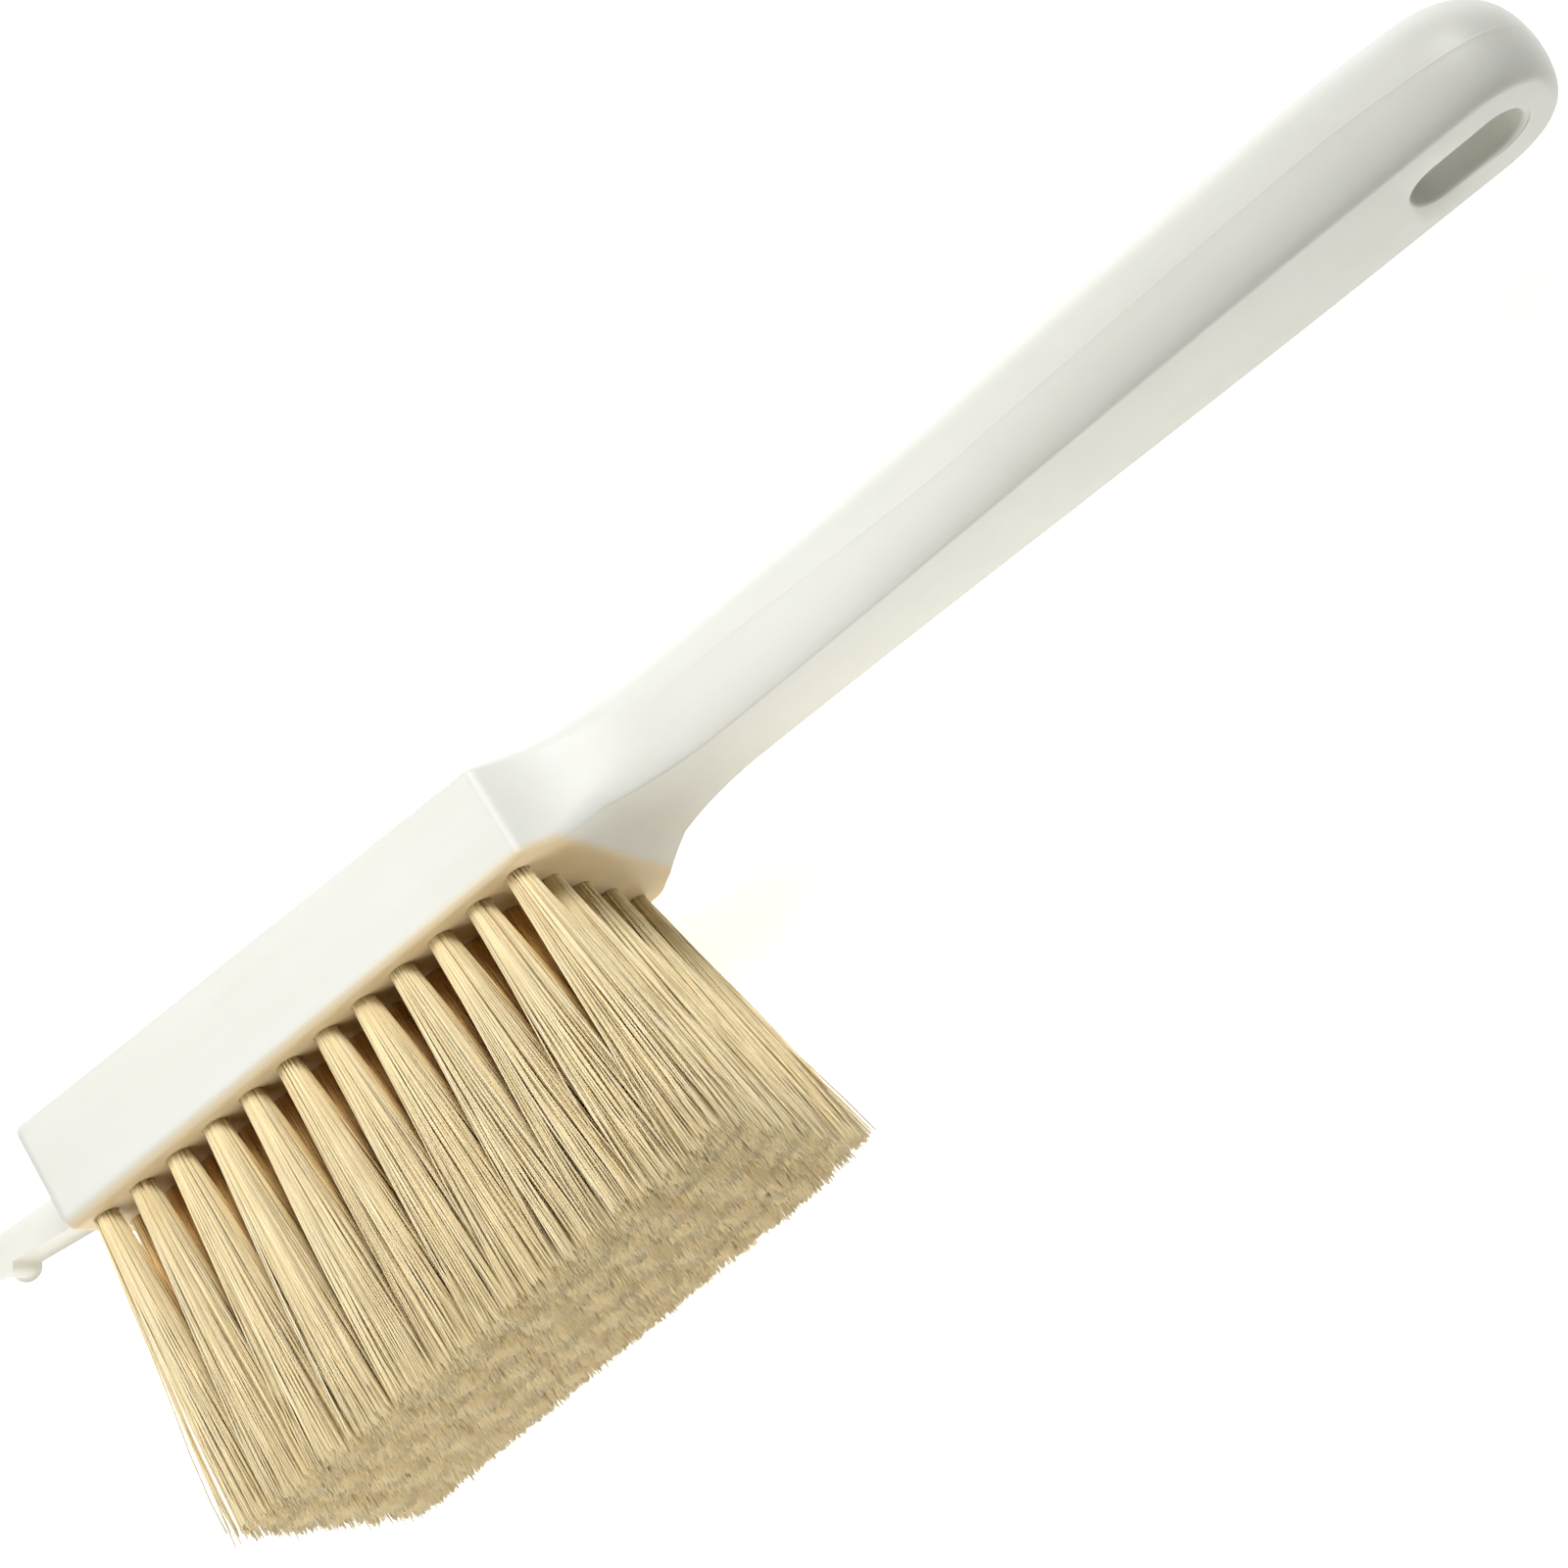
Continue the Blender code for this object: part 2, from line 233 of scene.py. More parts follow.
def crown_corner(x):
    room_wide, room_high = half_width(x), top(x) - widest(x)
    full_width = max(room_wide - LEAST_FLAT, CROWN_SHARE * room_wide * (x > NECK_X))
    full_height = max(room_high - LEAST_FLAT, CROWN_SHARE * room_high * (x > NECK_X))
    blend = ease(x, SHOULDER_X, NECK_X, 0, 1)
    width = BACK_EDGE + blend * (full_width - BACK_EDGE)
    height = BACK_EDGE + blend * (full_height - BACK_EDGE)
    return width, height


FLANK_STEPS = 14
CROWN_STEPS = 22
WALL_SHARES = (0.35, 0.7)

# The parting line: half its width, its height, and where it fades out on the neck and at the end.
SEAM_REACH = 0.34 * MM
SEAM_HEIGHT = 0.06 * MM
SEAM_GONE_X = 62 * MM
SEAM_FULL_X = 108 * MM
SEAM_END_POWER = 6


def half_section(x):
    """(height, side) points from the underside to the crown, with the parting line's ridge."""
    high, wide, waist = top(x), half_width(x), widest(x)
    depth = waist - flank_low(x)
    lowest = math.asin((waist - underside(x)) / depth)
    reach = min(math.asin(min(SEAM_REACH / depth, 0.9)), lowest / 2)
    turns = [lowest + (reach - lowest) * i / FLANK_STEPS for i in range(FLANK_STEPS + 1)]
    turns += [reach / 2, 0]
    ridge = SEAM_HEIGHT * ease(x, SEAM_GONE_X, SEAM_FULL_X, 0, 1)
    ridge *= arch(end_share(x), SEAM_END_POWER)
    points = []
    for turn in turns:
        lift = 0.5 * ridge if turn == reach / 2 else ridge if turn == 0 else 0
        side = max(flank_half_width(x, math.cos(turn)), LEAST_FLAT / 2) + lift
        points.append((waist - depth * math.sin(turn), side))
    wall = high - crown_corner(x)[1] - waist
    points.append((waist + wall * WALL_SHARES[0], wide + 0.5 * ridge))
    points.append((waist + wall * WALL_SHARES[1], wide))
    corner_width, corner_height = crown_corner(x)
    for step in range(CROWN_STEPS + 1):
        turn = math.pi / 2 * step / CROWN_STEPS
        height = high - corner_height * (1 - math.sin(turn))
        points.append((height, wide - corner_width * (1 - math.cos(turn))))
    return points


def section(x):
    near = half_section(x)
    ring = near + [(height, -side) for height, side in reversed(near)]
    return [place(x, height, side) for height, side in ring]


def spread(start, end, count):
    return [start + (end - start) * i / count for i in range(1, count + 1)]


def stations():
    turns = [math.radians(a) for a in range(0, 91, 9)]
    xs = [NOSE_X + NOSE_CORNER * (1 - math.cos(a)) for a in turns]
    xs += spread(xs[-1], SHOULDER_X - SHOULDER_FILLET, 14)
    xs += spread(SHOULDER_X - SHOULDER_FILLET, SHOULDER_X + SHOULDER_FILLET, 8)
    xs += spread(SHOULDER_X + SHOULDER_FILLET, UNDERSIDE_END_X, 4)
    xs += spread(UNDERSIDE_END_X, NECK_UNDERSIDE_X, 8)
    xs += spread(NECK_UNDERSIDE_X, NECK_X, 16)
    start = END_X - END_LENGTH
    xs += spread(NECK_X, start, 64)
    xs += [start + END_LENGTH * math.sin(math.radians(a)) for a in range(3, 61, 3)]
    edge = END_X - GRIP_STRIP_INSET
    xs = [x for x in xs if x < edge - 0.1 * MM]
    xs += [edge] + [edge + GRIP_STRIP_INSET * math.sin(math.radians(a)) for a in range(5, 87, 5)]
    return xs


def link(name, mesh):
    obj = bpy.data.objects.new(name, mesh)
    bpy.context.scene.collection.objects.link(obj)
    return obj


def loft(name, rings):
    bm = bmesh.new()
    loops = [[bm.verts.new(point) for point in ring] for ring in rings]
    count = len(loops[0])
    for first, second in zip(loops, loops[1:]):
        for i in range(count):
            j = (i + 1) % count
            bm.faces.new((first[i], first[j], second[j], second[i]))
    bm.faces.new(loops[0])
    bm.faces.new(loops[-1])
    bmesh.ops.recalc_face_normals(bm, faces=bm.faces)
    mesh = bpy.data.meshes.new(name)
    bm.to_mesh(mesh)
    bm.free()
    return link(name, mesh)


def combine(target, tool, operation):
    modifier = target.modifiers.new(tool.name, "BOOLEAN")
    modifier.operation = operation
    modifier.solver = "EXACT"
    modifier.object = tool


def apply_modifiers(obj):
    graph = bpy.context.evaluated_depsgraph_get()
    mesh = bpy.data.meshes.new_from_object(obj.evaluated_get(graph))
    obj.modifiers.clear()
    obj.data = mesh


def rounded(points, radius, steps=4):
    """A closed outline with its corners rounded."""
    out = []
    count = len(points)
    for i in range(count):
        here = np.array(points[i])
        before = np.array(points[i - 1]) - here
        after = np.array(points[(i + 1) % count]) - here
        cut = min(radius, 0.45 * np.linalg.norm(before), 0.45 * np.linalg.norm(after))
        a = here + before / np.linalg.norm(before) * cut
        b = here + after / np.linalg.norm(after) * cut
        for k in range(steps + 1):
            t = k / steps
            out.append(tuple((1 - t) ** 2 * a + 2 * t * (1 - t) * here + t * t * b))
    return out


def hook_outline():
    tip_x = NOSE_X - HOOK_REACH
    lip_x = tip_x + HOOK_LIP_SETBACK
    root_x = NOSE_X + HOOK_ROOT_BURIED
    root_low = HOOK_ROOT_HEIGHT - HOOK_ROOT_THICKNESS / 2
    root_high = HOOK_ROOT_HEIGHT + HOOK_ROOT_THICKNESS / 2
    tip_low = HOOK_TIP_HEIGHT - HOOK_TIP_THICKNESS / 2
    tip_high = HOOK_TIP_HEIGHT + HOOK_TIP_THICKNESS / 2
    points = [
        (root_x, root_low),
        (root_x, root_high),
        (tip_x, tip_high),
        (tip_x, tip_low),
        (lip_x, tip_low - HOOK_LIP_DROP),
        (lip_x + HOOK_LIP_LENGTH, tip_low - HOOK_LIP_DROP),
        (lip_x + HOOK_LIP_LENGTH + HOOK_LIP_SLOPE, tip_low),
    ]
    return rounded(points, HOOK_CORNER)


def drawn_in(outline, amount):
    """The outline moved inwards along its own normals."""
    points = np.array(outline)
    ahead = np.roll(points, -1, 0) - np.roll(points, 1, 0)
    ahead /= np.linalg.norm(ahead, axis=1)[:, None]
    inward = np.stack([ahead[:, 1], -ahead[:, 0]], 1)
    return points + inward * amount


def build_hook():
    """The hook as slices across the brush, drawn in towards both sides to round its edges."""
    outline = hook_outline()
    rings = []
    for end in (-1, 1):
        for step in range(HOOK_EDGE_STEPS + 1):
            turn = math.pi / 2 * (step if end < 0 else HOOK_EDGE_STEPS - step) / HOOK_EDGE_STEPS
            side = end * (HOOK_WIDTH / 2 - HOOK_EDGE * (1 - math.cos(turn)))
            slice_outline = drawn_in(outline, HOOK_EDGE * (1 - math.sin(turn)))
            rings.append([place(x, height, side) for x, height in slice_outline])
    return loft("hook_form", rings)


def obround(height, length, width, steps=20):
    radius = width / 2
    reach = length / 2 - radius
    ring = []
    for step in range(2 * steps + 2):
        end = 1 if step <= steps else -1
        turn = math.pi * (step if end == 1 else step - 1) / steps - math.pi / 2
        x = HOLE_X + end * reach + radius * math.cos(turn)
        ring.append(place(x, height, radius * math.sin(turn)))
    return ring


def build_hanging_cutter():
    mouth = underside_line(HOLE_X)
    rings = [obround(mouth - HOLE_RIM, HOLE_LENGTH + 2 * HOLE_RIM, HOLE_WIDTH + 2 * HOLE_RIM)]
    for a in range(0, 91, 18):
        out = HOLE_RIM * (1 - math.sin(math.radians(a)))
        up = HOLE_RIM * (1 - math.cos(math.radians(a)))
        rings.append(obround(mouth + up, HOLE_LENGTH + 2 * out, HOLE_WIDTH + 2 * out))
    rings.append(obround(GRIP_TOP + HOLE_OVERRUN, HOLE_LENGTH, HOLE_WIDTH))
    return loft("hanging_cutter", rings)


# ---------------------------------------------------------------- where the tufts stand

HEIGHT_AXIS = np.array([-math.sin(BACK_SLOPE), math.cos(BACK_SLOPE), 0.0])
ALONG_AXIS = np.array([math.cos(BACK_SLOPE), math.sin(BACK_SLOPE), 0.0])
SIDE_AXIS = np.array([0.0, 0.0, 1.0])


def tuft_names():
    return sorted(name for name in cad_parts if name.startswith("tuft_"))


def tuft_ends(name):
    """Centres of a tuft's foot, mouth and tip, read from its CAD node."""
    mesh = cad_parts[name].data
    points = np.array([v.co for v in mesh.vertices], float)
    level = points @ HEIGHT_AXIS
    foot = points[level > level.max() - TUFT_END_SLICE].mean(0)
    tip = points[level < level.min() + TUFT_END_SLICE].mean(0)
    mouth = foot - HEIGHT_AXIS * (TUFT_HOLE_DEPTH - TUFT_FOOT_GAP)
    return foot, mouth, tip


def build_tuft_cutter():
    bm = bmesh.new()
    sides = TUFT_HOLE_SIDES
    steps = (
        (-TUFT_HOLE_OVERRUN, TUFT_HOLE_CHAMFER),
        (0, TUFT_HOLE_CHAMFER),
        (TUFT_HOLE_CHAMFER, 0),
        (TUFT_HOLE_DEPTH, 0),
    )
    for name in tuft_names():
        mouth = tuft_ends(name)[1]
        rings = []
        for height, flare in steps:
            radius = TUFT_HOLE_RADIUS + flare
            ring = []
            for i in range(sides):
                turn = 2 * math.pi * i / sides
                offset = ALONG_AXIS * math.cos(turn) + SIDE_AXIS * math.sin(turn)
                ring.append(bm.verts.new(mouth + HEIGHT_AXIS * height + offset * radius))
            rings.append(ring)
        for first, second in zip(rings, rings[1:]):
            for i in range(sides):
                j = (i + 1) % sides
                bm.faces.new((first[i], first[j], second[j], second[i]))
        bm.faces.new(rings[0])
        bm.faces.new(rings[-1])
    bmesh.ops.recalc_face_normals(bm, faces=bm.faces)
    mesh = bpy.data.meshes.new("tuft_cutter")
    bm.to_mesh(mesh)
    bm.free()
    return link("tuft_cutter", mesh)


def build_body():
    body = loft("brush_body", [section(x) for x in stations()])
    tools = [build_hook(), build_hanging_cutter(), build_tuft_cutter()]
    for tool, operation in zip(tools, ("UNION", "DIFFERENCE", "DIFFERENCE")):
        combine(body, tool, operation)
    apply_modifiers(body)
    for tool in tools:
        bpy.data.objects.remove(tool)
    body.data.shade_smooth()
    body.data.set_sharp_from_angle(angle=math.radians(32))
    return body


# ---------------------------------------------------------------- bristles

FILAMENTS = 420
FILAMENT_RADIUS = 0.15 * MM
FILAMENT_CORNERS = 3
# Steps along a filament as shares of its free length; the first lies at its fold in the hole.
SHARES = np.array([-0.16, 0.0, 0.12, 0.27, 0.43, 0.6, 0.76, 0.9, 0.985, 1.0])
THICKNESS = np.array([0.9, 0.9, 1, 1, 1, 1, 1, 1, 0.95, 0.7])
FOLD_BELOW_FOOT = 0.8 * MM

# A tuft's spread along and across the brush, from its round root to its squarer tip.
ROOT_RADIUS = 2.2 * MM
SPREAD_X = 4.95 * MM
SPREAD_SIDE = 6.6 * MM
SPREAD_VARIETY = (0.95, 1.06)
FLARE_POWER = 1.45
SQUARE_POWER = 1.3

# How the filaments of a tuft differ: clumps, lengths, strays and waves.
CLUMPS = 9
CLUMP_RING = 0.6
CLUMP_HOLD = 0.8
CLUMP_LENGTH = 0.12 * MM
CLUMP_SHIFT = 0.2 * MM
LENGTH_SPREAD = 0.3 * MM
SHORT_SHARE = 0.05
SHORT_BY = 5 * MM
STRAY = 0.4 * MM
WILD_SHARE = 0.07
WILD_STRAY = 1.3 * MM
STRAY_POWER = 1.5
WAVE_IN_MM = (0.1, 0.4)
WAVE_COUNT = (0.7, 1.6)
WAVE_ACROSS = 1.1

# The filaments near the border of the whole brush are cut shorter.
BORDER_TRIM = 1.6 * MM
TRIM_SIDE, TRIM_SIDE_RUN = 26 * MM, 7 * MM
TRIM_END, TRIM_END_RUN = 50 * MM, 8 * MM

# Shading: how far the normals lean outwards, and how deep below the border the colour is painted
# darker as shade.
SOFTNESS = 0.37
TIP_SOFTNESS = 0.18
TIP_LEAN = 0.9
TIP_POWER = 8
SKIN = 6 * MM
BORDER_SIDE, BORDER_SIDE_EXTRA = 24.3 * MM, 1.3 * MM
BORDER_END, BORDER_END_EXTRA = 51.8 * MM, 0.3 * MM
TIP_OPENNESS = 1.25


def squared(u, v):
    """Points of the unit disc spread over the unit square."""
    root = 2 * math.sqrt(2)
    wide = 2 + u * u - v * v
    tall = 2 - u * u + v * v
    across = np.sqrt(np.maximum(wide + root * u, 0)) - np.sqrt(np.maximum(wide - root * u, 0))
    along = np.sqrt(np.maximum(tall + root * v, 0)) - np.sqrt(np.maximum(tall - root * v, 0))
    return across / 2, along / 2


def trim(tip):
    """How much shorter the filaments near the border of the whole brush are cut."""
    side = np.clip((np.abs(tip[:, 2]) - TRIM_SIDE) / TRIM_SIDE_RUN, 0, 1)
    end = np.clip((np.abs(tip[:, 0]) - TRIM_END) / TRIM_END_RUN, 0, 1)
    return BORDER_TRIM * (side ** 2 + end ** 2)


def spreading(out):
    """How much of its spread a tuft has reached at this share of its length."""
    return 1 - (1 - out) ** FLARE_POWER


def draw_places(rng):
    """Where in the unit disc a tuft's filaments stand, and the clump each one holds to."""
    reach = rng.random(FILAMENTS) ** 0.5
    turn = rng.random(FILAMENTS) * 2 * math.pi
    u, v = reach * np.cos(turn), reach * np.sin(turn)
    clump = rng.integers(0, CLUMPS, FILAMENTS)
    clump_turn = rng.random(CLUMPS) * 2 * math.pi
    centre_u, centre_v = CLUMP_RING * np.cos(clump_turn), CLUMP_RING * np.sin(clump_turn)
    nearest = np.hypot(u[:, None] - centre_u, v[:, None] - centre_v).argmin(1)
    clump = np.where(rng.random(FILAMENTS) < CLUMP_HOLD, nearest, clump)
    return u, v, clump


def draw_lengths_and_strays(rng, clump):
    """How much longer each filament is than its tuft, and how far its tip strays."""
    count = FILAMENTS
    clump_length = rng.normal(0, CLUMP_LENGTH, CLUMPS)[clump]
    clump_shift = rng.normal(0, CLUMP_SHIFT, (CLUMPS, 2))[clump]
    length = rng.normal(0, LENGTH_SPREAD, count) + clump_length
    length -= np.where(rng.random(count) < SHORT_SHARE, rng.random(count) * SHORT_BY, 0)
    stray = rng.normal(0, STRAY, (count, 2))
    wild = rng.random((count, 1)) < WILD_SHARE
    stray += np.where(wild, rng.normal(0, WILD_STRAY, (count, 2)), 0)
    return length, stray + clump_shift


def filament_lines(name, rng):
    """A tuft's filaments as centre points and outward directions, as (filament, step, 3)."""
    foot, mouth, tip = tuft_ends(name)
    u, v, clump = draw_places(rng)
    square_u, square_v = squared(u, v)
    length, stray = draw_lengths_and_strays(rng, clump)
    wave = rng.uniform(*WAVE_IN_MM, FILAMENTS) * MM
    wave_turn = rng.random((FILAMENTS, 2)) * 2 * math.pi
    waves = rng.uniform(*WAVE_COUNT, FILAMENTS)
    spread_x = SPREAD_X * rng.uniform(*SPREAD_VARIETY)
    spread_side = SPREAD_SIDE * rng.uniform(*SPREAD_VARIETY)

    lines = np.zeros((FILAMENTS, len(SHARES), 3))
    outward = np.zeros_like(lines)
    axis = tip - mouth
    full = np.linalg.norm(axis)
    ends = tip + ALONG_AXIS * (square_u * spread_x)[:, None]
    ends = ends + SIDE_AXIS * (square_v * spread_side)[:, None]
    length -= trim(ends)
    for k, share in enumerate(SHARES):
        out = max(share, 0)
        flare = spreading(out)
        blend = flare ** SQUARE_POWER
        uu = u + (square_u - u) * blend
        vv = v + (square_v - v) * blend
        shift_x = uu * (ROOT_RADIUS + (spread_x - ROOT_RADIUS) * flare)
        shift_side = vv * (ROOT_RADIUS + (spread_side - ROOT_RADIUS) * flare)
        bend = out ** STRAY_POWER
        phase = waves * out * 2 * math.pi
        shift_x += stray[:, 0] * bend
        shift_side += stray[:, 1] * bend
        shift_x += wave * np.sin(phase + wave_turn[:, 0]) * out
        shift_side += wave * np.sin(phase * WAVE_ACROSS + wave_turn[:, 1]) * out
        if share < 0:
            centre = foot - HEIGHT_AXIS * FOLD_BELOW_FOOT
            lift = np.zeros(FILAMENTS)
        else:
            centre = mouth + axis * share
            lift = length * out / full
        lines[:, k] = (
            centre
            + axis * lift[:, None]
            + ALONG_AXIS * shift_x[:, None]
            + SIDE_AXIS * shift_side[:, None]
        )
        away = ALONG_AXIS * uu[:, None] * spread_side + SIDE_AXIS * vv[:, None] * spread_x
        outward[:, k] = away / spread_x + axis / full * TIP_LEAN * out ** TIP_POWER
    outward /= np.maximum(np.linalg.norm(outward, axis=2, keepdims=True), 1e-6)
    return lines, outward


def openness(lines):
    """0 deep among the roots and 1 on the outside of the brush or at its tips; it sets the painted
    shade in the filaments' colour.
    """
    out = np.clip(SHARES, 0, 1)[None, :]
    grown = spreading(out)
    side = BORDER_SIDE + (SPREAD_SIDE + BORDER_SIDE_EXTRA) * grown
    end = BORDER_END + (SPREAD_X + BORDER_END_EXTRA) * grown
    depth = np.minimum(side - np.abs(lines[:, :, 2]), end - np.abs(lines[:, :, 0]))
    return np.clip(np.clip(1 - depth / SKIN, 0, 1) + TIP_OPENNESS * out ** 2, 0, 1)


def filament_mesh(name, lines, outward, rng):
    """Thin tubes along the lines, with each filament's tone and each point's place and shade."""
    count, steps, _ = lines.shape
    corners = FILAMENT_CORNERS
    ahead = np.gradient(lines, axis=1)
    ahead /= np.linalg.norm(ahead, axis=2, keepdims=True)
    across = np.cross(ahead, SIDE_AXIS)
    across /= np.linalg.norm(across, axis=2, keepdims=True)
    other = np.cross(ahead, across)
    radius = FILAMENT_RADIUS * rng.uniform(0.8, 1.15, count)[:, None] * THICKNESS[None, :]
    start = rng.random(count) * 2 * math.pi
    soft = SOFTNESS + TIP_SOFTNESS * np.clip(SHARES, 0, 1) ** TIP_POWER
    points = np.zeros((count, steps, corners, 3))
    normals = np.zeros((count, steps, corners, 3))
    for c in range(corners):
        turn = start + 2 * math.pi * c / corners
        offset = (
            across * np.cos(turn)[:, None, None] + other * np.sin(turn)[:, None, None]
        )
        points[:, :, c] = lines + offset * radius[:, :, None]
        normals[:, :, c] = offset + (outward - offset) * soft[None, :, None]
    index = np.arange(count * steps * corners).reshape(count, steps, corners)
    a, b = index[:, :-1], index[:, 1:]
    quads = np.stack([a, np.roll(a, -1, 2), np.roll(b, -1, 2), b], -1).reshape(-1, 4)
    caps = np.concatenate([index[:, 0][:, ::-1], index[:, -1]])
    faces = quads.tolist() + caps.tolist()
    mesh = bpy.data.meshes.new(name)
    mesh.from_pydata(points.reshape(-1, 3).tolist(), [], faces)
    tone = np.repeat(rng.random(count), steps * corners).astype(np.float32)
    along = np.tile(np.repeat(SHARES, corners), count).astype(np.float32)
    # The shade attribute drives painted shade: it is low deep among the roots, where the colour is
    # darkened.
    shade = np.repeat(openness(lines).reshape(-1), corners).astype(np.float32)
    for key, values in (("tone", tone), ("along", along), ("shade", shade)):
        attribute = mesh.attributes.new(key, "FLOAT", "POINT")
        attribute.data.foreach_set("value", values)
    mesh.shade_smooth()
    normals /= np.linalg.norm(normals, axis=3, keepdims=True)
    mesh.normals_split_custom_set_from_vertices(normals.reshape(-1, 3).tolist())
    return mesh


def build_tufts(material):
    for number, name in enumerate(tuft_names()):
        rng = np.random.default_rng(SEED + number)
        lines, outward = filament_lines(name, rng)
        tuft = link("bristles" + name[4:], filament_mesh(name, lines, outward, rng))
        tuft.data.materials.append(material)
        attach(tuft, "root")
        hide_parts(name)


# ---------------------------------------------------------------- anchors

ANCHOR_SIZE = (4.4 * MM, 2.2 * MM, 0.35 * MM)
ANCHOR_BELOW_FOOT = 1 * MM
ANCHOR_EDGE = 0.08 * MM


def build_anchors(material):
    """One short flat wire across the fold of each tuft, at the bottom of its hole."""
    bm = bmesh.new()
    for name in tuft_names():
        foot, _, _ = tuft_ends(name)
        made = bmesh.ops.create_cube(bm, size=1)["verts"]
        for vert in made:
            x, y, z = vert.co
            spot = foot - HEIGHT_AXIS * ANCHOR_BELOW_FOOT
            spot = spot + ALONG_AXIS * x * ANCHOR_SIZE[0] + HEIGHT_AXIS * y * ANCHOR_SIZE[1]
            vert.co = Vector(spot + SIDE_AXIS * z * ANCHOR_SIZE[2])
        edges = {edge for vert in made for edge in vert.link_edges}
        bmesh.ops.bevel(bm, geom=list(edges), offset=ANCHOR_EDGE, segments=1, affect="EDGES")
    mesh = bpy.data.meshes.new("wire_anchors")
    bm.to_mesh(mesh)
    bm.free()
    anchors = link("wire_anchors", mesh)
    anchors.data.materials.append(material)
    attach(anchors, "root")


# ---------------------------------------------------------------- materials

def new_material(name):
    material = bpy.data.materials.new(name)
    material.use_nodes = True
    tree = material.node_tree
    return material, tree, tree.nodes["Principled BSDF"]


def add_node(tree, kind, **values):
    node = tree.nodes.new(kind)
    for key, value in values.items():
        setattr(node, key, value)
    return node


def noise(tree, place_from, scale, detail=4, stretch=(1, 1, 1), roughness=0.55):
    mapping = add_node(tree, "ShaderNodeMapping")
    mapping.inputs["Scale"].default_value = stretch
    tree.links.new(place_from, mapping.inputs["Vector"])
    texture = add_node(tree, "ShaderNodeTexNoise")
    texture.inputs["Scale"].default_value = scale
    texture.inputs["Detail"].default_value = detail
    texture.inputs["Roughness"].default_value = roughness
    tree.links.new(mapping.outputs["Vector"], texture.inputs["Vector"])
    return texture.outputs["Fac"]


def ramp(tree, factor, stops):
    node = add_node(tree, "ShaderNodeValToRGB")
    elements = node.color_ramp.elements
    while len(elements) < len(stops):
        elements.new(0.5)
    for element, (position, colour) in zip(elements, stops):
        element.position = position
        element.color = (*colour, 1)
    tree.links.new(factor, node.inputs["Fac"])
    return node.outputs["Color"]


def scaled(tree, factor, low, high):
    node = add_node(tree, "ShaderNodeMapRange")
    node.inputs["To Min"].default_value = low
    node.inputs["To Max"].default_value = high
    tree.links.new(factor, node.inputs["Value"])
    return node.outputs["Result"]


def dotted(tree, vector, axis):
    """How far a place lies along an axis."""
    node = add_node(tree, "ShaderNodeVectorMath", operation="DOT_PRODUCT")
    node.inputs[1].default_value = tuple(axis)
    tree.links.new(vector, node.inputs[0])
    return node.outputs["Value"]


def band(tree, factor, clear, full):
    """0 at the clear value and 1 at the full value, with a soft step between."""
    node = add_node(tree, "ShaderNodeMapRange", interpolation_type="SMOOTHSTEP")
    node.inputs["From Min"].default_value = clear
    node.inputs["From Max"].default_value = full
    tree.links.new(factor, node.inputs["Value"])
    return node.outputs["Result"]


def mixed(tree, factor, first, second, mode="MIX"):
    node = add_node(tree, "ShaderNodeMix", data_type="RGBA", blend_type=mode)
    for number, value in ((0, factor), (6, first), (7, second)):
        socket = node.inputs[number]
        if isinstance(value, (int, float, tuple)):
            socket.default_value = value
        else:
            tree.links.new(value, socket)
    return node.outputs[2]


def bumped(tree, shader, height, strength, distance):
    bump = add_node(tree, "ShaderNodeBump")
    bump.inputs["Strength"].default_value = strength
    bump.inputs["Distance"].default_value = distance
    tree.links.new(height, bump.inputs["Height"])
    tree.links.new(bump.outputs["Normal"], shader.inputs["Normal"])


# Painted shade and painted bristle-coloured reflection on the underside next to the tufts, up to
# these heights and this far along.
BOUNCE_SHADE_TOP = 2.6 * MM
BOUNCE_SHADE_BOTTOM = 0.3 * MM
BOUNCE_SHADE_END = 61 * MM
BOUNCE_SHADE_COLOUR = (0.78, 0.62, 0.36, 1)
BOUNCE_SHADE_CLOUD = 0.35


def plastic_material():
    material, tree, shader = new_material("white_plastic_visual")
    coords = add_node(tree, "ShaderNodeTexCoord").outputs["Object"]
    cloud = noise(tree, coords, 28, 3)
    streak = noise(tree, coords, 60, 5, (0.12, 1, 1))
    speck = noise(tree, coords, 900, 2)
    tint = ramp(tree, cloud, [(0.3, (0.74, 0.745, 0.695)), (0.7, (0.77, 0.775, 0.73))])
    veil = ramp(tree, streak, [(0.35, (0.955, 0.95, 0.93)), (0.6, (1, 1, 1))])
    clean = mixed(tree, 1.0, tint, veil, "MULTIPLY")
    # Painted shade and reflection: the underside near the tufts is tinted tan, as if in shadow and
    # lit by light bounced off the bristles.
    level = dotted(tree, coords, HEIGHT_AXIS)
    low = band(tree, level, BOUNCE_SHADE_TOP - BLOCK_HEIGHT, BOUNCE_SHADE_BOTTOM - BLOCK_HEIGHT)
    among = band(tree, dotted(tree, coords, ALONG_AXIS), BOUNCE_SHADE_END, UNDERSIDE_END_X)
    bounce_shade_zone = mixed(tree, 1.0, low, among, "MULTIPLY")
    painted_bounce_shade = mixed(tree, BOUNCE_SHADE_CLOUD, bounce_shade_zone, cloud, "MULTIPLY")
    tree.links.new(mixed(tree, painted_bounce_shade, clean, BOUNCE_SHADE_COLOUR), shader.inputs["Base Color"])
    tree.links.new(scaled(tree, streak, 0.36, 0.5), shader.inputs["Roughness"])
    shader.inputs["Specular IOR Level"].default_value = 0.42
    shader.inputs["Subsurface Weight"].default_value = 0.12
    shader.inputs["Subsurface Radius"].default_value = (0.004, 0.0035, 0.0028)
    shader.inputs["Subsurface Scale"].default_value = 1.0
    height = mixed(tree, 0.25, streak, speck)
    bumped(tree, shader, height, 0.25, 0.00012)
    return material


